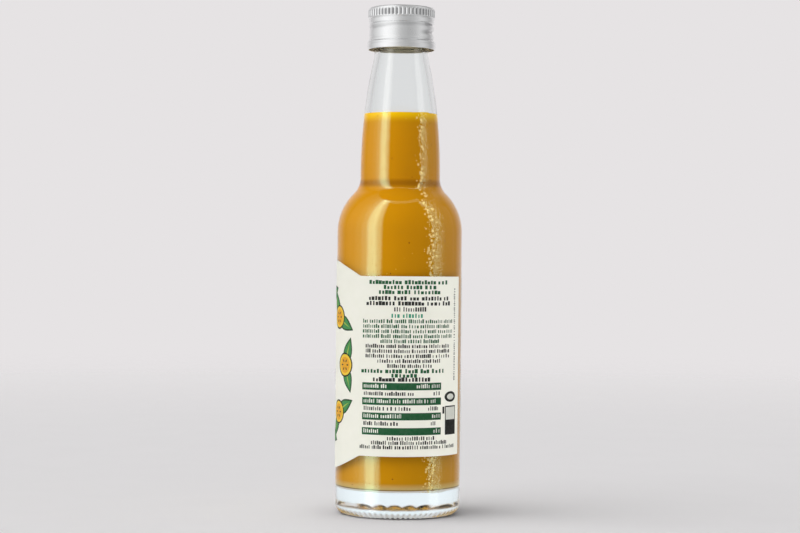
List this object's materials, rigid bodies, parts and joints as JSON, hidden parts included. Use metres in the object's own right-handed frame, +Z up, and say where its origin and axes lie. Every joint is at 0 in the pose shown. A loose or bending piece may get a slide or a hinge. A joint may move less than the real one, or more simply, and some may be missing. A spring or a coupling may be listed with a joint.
{
  "type": "hot sauce bottle",
  "caption": "Round clear glass bottle filled with amber sauce to the middle of its tapering neck, closed by a ribbed aluminium screw cap, with a wrap-round cream paper label.",
  "frame": {"origin": "middle of the bottle's standing ring, on the surface that it stands on", "axes": "+Z up along the bottle's axis, -Y towards the back panel of the label, +X to the right of that view"},
  "size_m": [0.041, 0.041, 0.1641],
  "materials": {
    "glass": "clear polished flint glass",
    "sauce": "smooth opaque amber sauce, wet against the glass",
    "paper": null,
    "aluminium": "satin rolled sheet"
  },
  "bodies": {
    "root": {"bottle": "glass", "sauce": "sauce", "label": "paper", "cap": "aluminium"}
  },
  "joints": []
}
